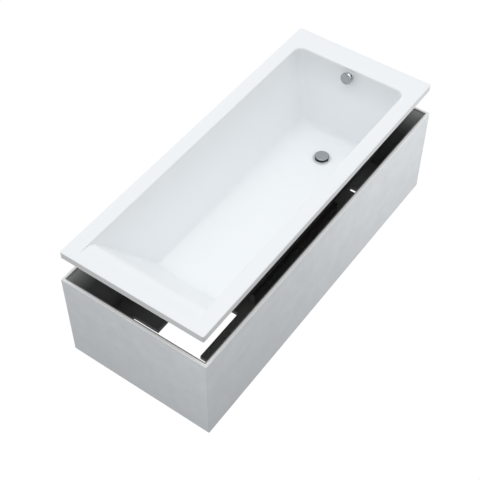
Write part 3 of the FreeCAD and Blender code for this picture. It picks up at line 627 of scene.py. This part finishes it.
# Stiffening under the shell: a chipboard panel laid in under the floor and timber battens under the rim.
# They are bedded in the backing and wetted out with its resin, which darkens the grain.
timber, tree, shader = new_finish("resined_timber")
ring_grain = noise_on(tree, 30.0, (0.25, 3.0, 3.0), 5.0)
fibre = noise_on(tree, 240.0, (0.2, 1.0, 1.0), 3.0)
wood = blended(tree, spread(tree, ring_grain), (0.30, 0.19, 0.10), (0.47, 0.33, 0.19))
pores = ranged(tree, fibre, 0.55, 0.75, 0.0, 0.5)
tree.links.new(blended(tree, pores, wood, (0.20, 0.12, 0.06)), shader.inputs["Base Color"])
tree.links.new(spread(tree, fibre, 0.45, 0.7), shader.inputs["Roughness"])
relief(tree, shader, fibre, 0.35, 0.0006)
dress(timber, "floor_board", "rim_batten_left", "rim_batten_right", "rim_batten_head", "rim_batten_foot")

# Drain: a chromed brass flange with a strainer, which also guides the plug's stem.
# It is clamped through the floor dish between two rings of black rubber.
chrome = grained_finish("polished_chrome", (0.41, 0.428, 0.443), (0.46, 0.478, 0.493), 160.0,
                        rough=(0.10, 0.2), bump=(0.02, 0.0001), metal=1.0)
# Black rubber for the seals; on the plug's edge the same tone is painted shade.
seal_rubber = grained_finish("seal_rubber", (0.030, 0.030, 0.031), (0.055, 0.055, 0.056), 120.0,
                             rough=(0.6, 0.8), bump=(0.25, 0.0003))
dress(chrome, "drain_flange")
dress(seal_rubber, "drain_seal_upper", "drain_seal_lower", "plug_seal", "overflow_seal")

# Plug: a nearly flat cap of chromed brass on a shoulder, pushed up and down by its stem through the flange's
# guide. Its sloping edge and underside are black, painted shade for the dark gap under the cap.
cap_z = 253.3

# Outline in millimetres: radius, and height above the cap's underside
plug_foot = np.array([(4.0, -10.0), (18.4, -10.0), (19.0, -9.4), (19.0, -7.0), (17.0, -7.0), (17.0, -3.0),
                      (19.0, -3.0), (19.0, 0.0)])
bend = np.linspace(0, np.pi / 2, 5)
plug_band = np.concatenate([np.column_stack([33.8 + 0.6 * np.sin(bend), 0.6 * (1 - np.cos(bend))]),
                            np.column_stack([33.6 + 0.8 * np.cos(bend), 0.8 + 0.8 * np.sin(bend)]),
                            [(32.4, 2.8), (31.2, 4.0)]])
crown_radius = 30.6
crown = np.linspace(crown_radius, 0.0, 16)
plug_crown = np.column_stack([crown, 4.2 + 0.8 * (1 - (crown / crown_radius) ** 2)])
plug_socket = np.array([(0.0, -2.0), (4.0, -2.0)])
plug_steps = 96


def turned_skin(outline, base, axis, steps, dent=None):
    """A closed outline of radius and height, carried round an axis through a base point.

    A dent takes away from the radius, by height and turn. The points come out in metres."""
    axis = np.asarray(axis) / np.linalg.norm(axis)
    side = np.array([0.0, 1.0, 0.0])
    rise = np.cross(side, axis)
    angle = np.linspace(0, 2 * np.pi, steps, endpoint=False)[None, :]
    radius = np.repeat(outline[:, :1], steps, 1)
    if dent is not None:
        radius = np.maximum(radius - dent(outline, angle), 0)
    spoke = np.cos(angle)[..., None] * rise + np.sin(angle)[..., None] * side
    points = np.asarray(base) + outline[:, 1][:, None, None] * axis + radius[..., None] * spoke
    return points.reshape(-1, 3) / 1000, grid_faces(len(outline), steps, True, True)


plug_points, plug_faces = turned_skin(np.concatenate([plug_foot, plug_band, plug_crown, plug_socket]),
                                      (drain_x, 0.0, cap_z), (0.0, 0.0, 1.0), plug_steps)
face_row = np.arange(len(plug_faces)) // plug_steps
# Painted shade: the cap's sloping edge and underside take the black tone.
cap_shade_band = (face_row >= len(plug_foot) - 1) & (face_row < len(plug_foot) + len(plug_band) - 2)
plug = skin("plug_cap", [(plug_points, plug_faces[~cap_shade_band], 0), (plug_points, plug_faces[cap_shade_band], 1)],
            [chrome, seal_rubber], crease_deg=40.0)
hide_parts("drain_plug")
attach(plug, "plug")
brass = grained_finish("drawn_brass", (0.55, 0.40, 0.18), (0.66, 0.50, 0.25), 140.0,
                       rough=(0.29, 0.4), bump=(0.05, 0.0002), metal=1.0)
dress(brass, "plug_stem", "knob_spindle")

# Waste cup, trap and overflow pipe: moulded white polypropylene, pushed together and held by black slip nuts.
# The trap is a flat drum with a cap for cleaning, and the overflow's head and cable drum are moulded alike.
pipe_plastic = grained_finish("white_polypropylene", (0.76, 0.775, 0.785), (0.80, 0.812, 0.82), 85.0,
                              rough=(0.38, 0.55), bump=(0.08, 0.0003))
dark_plastic = grained_finish("black_polypropylene", (0.018, 0.018, 0.019), (0.035, 0.035, 0.036), 110.0,
                              rough=(0.35, 0.5), bump=(0.1, 0.0003))
dress(pipe_plastic, "waste_body", "trap_body", "trap_outlet_pipe", "overflow_pipe", "overflow_head",
      "cable_drum")
dress(dark_plastic, "trap_slip_nut", "trap_outlet_nut", "trap_cleaning_cap")

# Overflow: a white collar screwed through the wall to the head behind it, and a chromed knob on a leaning
# spindle. The knob's skirt narrows towards the wall. A strip of lighter chrome on the upper right of its edge
# is a painted highlight, and two shallow notches in its edge are lined black.
overflow_point = (x_foot - math.tan(foot_draft) * overflow_drop, 0.0, rim_z - overflow_drop)
knob_lean = math.radians(18.0)
knob_axis = (-math.cos(knob_lean), 0.0, math.sin(knob_lean))

# Outline in millimetres: radius, and distance along the spindle from the middle of the hole in the wall
knob_back = np.array([(4.0, 23.0), (7.0, 23.0), (7.0, 33.0), (24.4, 33.0), (21.4, 22.0), (23.2, 22.0),
                      (24.0, 22.8), (25.5, 25.8), (27.0, 28.7), (28.5, 31.4)])
chamfer = np.linspace(0, 1, 9)
knob_chamfer = np.column_stack([28.4 - 3.6 * chamfer, 32.0 + 3.8 * chamfer ** 0.9])
knob_face_radius = 24.4
knob_face = np.column_stack([np.linspace(knob_face_radius, 0, 8), np.full(8, 36.0)])
knob_socket = np.array([(0.0, 34.5), (4.0, 34.5)])
knob_steps = 240
notch_angles = np.radians([1.0, 23.5])
notch_width = 0.10
notch_depth = 1.4
notch_foot = 26.0
notch_fade = 5.0
# Where the painted highlight lies round the knob's edge, and how far either way it reaches
knob_highlight_middle = np.radians([-34.0])
knob_highlight_reach = math.radians(27.0)


def turn_between(angle, places):
    """How far round the knob each angle lies from each place, either way."""
    return np.abs((angle[..., None] - places + np.pi) % (2 * np.pi) - np.pi)


def grip_notches(outline, angle):
    """Two smooth hollows in the knob's chamfer, each a bell in the angle, on the outer skin alone."""
    past_face = np.clip(outline[:, :1] - knob_face_radius, 0, 1)
    above_foot = np.clip((outline[:, 1:] - notch_foot) / notch_fade, 0, 1)
    bells = np.exp(-(turn_between(angle, notch_angles) / notch_width) ** 2).sum(-1)
    return past_face * above_foot * notch_depth * bells


knob_points, knob_faces = turned_skin(np.concatenate([knob_back, knob_chamfer, knob_face, knob_socket]),
                                      overflow_point, knob_axis, knob_steps, grip_notches)
face_row, face_step = np.divmod(np.arange(len(knob_faces)), knob_steps)
face_turn = (face_step + 0.5) * 2 * np.pi / knob_steps
edge_rows = (face_row >= len(knob_back) - 2) & (face_row < len(knob_back) + len(knob_chamfer))
inlaid = edge_rows & (turn_between(face_turn, notch_angles).min(-1) < notch_width)
in_knob_highlight = turn_between(face_turn, knob_highlight_middle).min(-1) < knob_highlight_reach
# Painted highlight: the edge's faces in that sector take a lighter chrome.
knob_highlight = edge_rows & (face_row >= len(knob_back)) & in_knob_highlight
painted_highlight_chrome = grained_finish("painted_highlight_chrome", (0.76, 0.77, 0.78), (0.80, 0.81, 0.82), 160.0,
                               rough=(0.06, 0.12), bump=(0.02, 0.0001), metal=1.0)
knob = skin("overflow_knob_cap",
            [(knob_points, knob_faces[~knob_highlight & ~inlaid], 0), (knob_points, knob_faces[knob_highlight], 1),
             (knob_points, knob_faces[inlaid], 2)],
            [chrome, painted_highlight_chrome, dark_plastic], crease_deg=40.0)
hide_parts("overflow_knob")
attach(knob, "knob")
steel = grained_finish("brushed_steel", (0.42, 0.42, 0.43), (0.55, 0.55, 0.56), 220.0,
                       rough=(0.28, 0.45), bump=(0.08, 0.0002), metal=1.0)
dress(pipe_plastic, "overflow_collar")
dress(steel, "overflow_screws", "overflow_pipe_clamps")

# Control cable: a stiff wire in a black sheath, from the knob's drum down to the lifter in the waste cup.
# It is held by a gland at each end.
cable_sheath, tree, shader = new_finish("cable_sheath")
weave = noise_on(tree, 900.0, detail=2.0)
tree.links.new(blended(tree, weave, (0.02, 0.02, 0.022), (0.045, 0.045, 0.047)), shader.inputs["Base Color"])
tree.links.new(spread(tree, weave, 0.4, 0.6), shader.inputs["Roughness"])
relief(tree, shader, weave, 0.2, 0.0003)
dress(cable_sheath, "control_cable")

# Ground, light and camera: a white light table that glows evenly, a wide soft lamp overhead, two lamps low at
# the sides, and a pale surround that grows brighter upwards and leans to one side near the ground.
table_reach = 40.0
table_drop = 0.0005
table_corners = np.array([(-1, -1), (1, -1), (1, 1), (-1, 1)]) * table_reach
table = bpy.data.meshes.new("light_table")
table.from_pydata([(x, y, -table_drop) for x, y in table_corners.tolist()], [], [(0, 1, 2, 3)])
ground = bpy.data.objects.new("light_table", table)
bpy.context.scene.collection.objects.link(ground)
table_white, tree, _ = new_finish("table_white")
glow = tree.nodes.new("ShaderNodeEmission")
glow.inputs["Strength"].default_value = 1.02
tree.links.new(glow.outputs["Emission"], tree.nodes["Material Output"].inputs["Surface"])
table_white.cycles.emission_sampling = "NONE"
ground.visible_diffuse = False
table.materials.append(table_white)

surround = bpy.data.worlds.new("surround")
surround.use_nodes = True
tree = surround.node_tree
where = tree.nodes.new("ShaderNodeTexCoord")
split = tree.nodes.new("ShaderNodeSeparateXYZ")
tree.links.new(where.outputs["Generated"], split.inputs["Vector"])
climb = split.outputs["Z"]
slant = tree.nodes.new("ShaderNodeVectorMath")
slant.operation = "DOT_PRODUCT"
slant.inputs[1].default_value = (-0.01, 0.46, 0.0)
tree.links.new(where.outputs["Generated"], slant.inputs[0])
low_slant = product(tree, slant.outputs["Value"], ranged(tree, climb, 0.1, 0.55, 1.0, 0.06))
below = ranged(tree, climb, -0.1, 0.1, 0.29, 0.55)
above = ranged(tree, climb, 0.1, 0.8, 1.02, 1.53)
rising = product(tree, below, above)
brightness = tree.nodes.new("ShaderNodeMath")
brightness.operation = "MULTIPLY_ADD"
for socket, value in zip(brightness.inputs, (low_slant, rising, rising)):
    tree.links.new(value, socket)
tree.links.new(brightness.outputs["Value"], tree.nodes["Background"].inputs["Strength"])
tree.nodes["Background"].inputs["Color"].default_value = (1.0, 1.0, 1.0, 1.0)
bpy.context.scene.world = surround


def soft_lamp(name, size, power, place, aim):
    """A rectangular lamp at a place, facing a point."""
    lamp = bpy.data.lights.new(name, "AREA")
    lamp.shape = "RECTANGLE"
    lamp.size, lamp.size_y = size
    lamp.energy = power
    stand = bpy.data.objects.new(name, lamp)
    stand.location = place
    stand.rotation_euler = (Vector(aim) - Vector(place)).to_track_quat("-Z", "Y").to_euler()
    bpy.context.scene.collection.objects.link(stand)


soft_lamp("overhead", size=(5.0, 5.0), power=65.5, place=(0.4, 0.0, 5.5), aim=(0.4, 0.0, 0.0))
soft_lamp("foot_side", size=(0.9, 0.5), power=8.6, place=(0.93, -1.86, 0.44), aim=(0.93, -0.36, 0.22))
soft_lamp("head_side", size=(0.6, 0.25), power=0.19, place=(-1.35, -0.50, 0.45), aim=(-0.86, -0.36, 0.25))

camera_turn_deg = (40.4857, 0.1162, -54.3889)
lens = bpy.data.cameras.new("camera")
lens.sensor_width = 36.0
lens.lens = 78.83
camera = bpy.data.objects.new("camera", lens)
camera.location = (-2.5628, -1.7482, 3.7819)
camera.rotation_euler = np.radians(camera_turn_deg)
bpy.context.scene.collection.objects.link(camera)
bpy.context.scene.camera = camera
bpy.context.scene.view_settings.view_transform = "Standard"
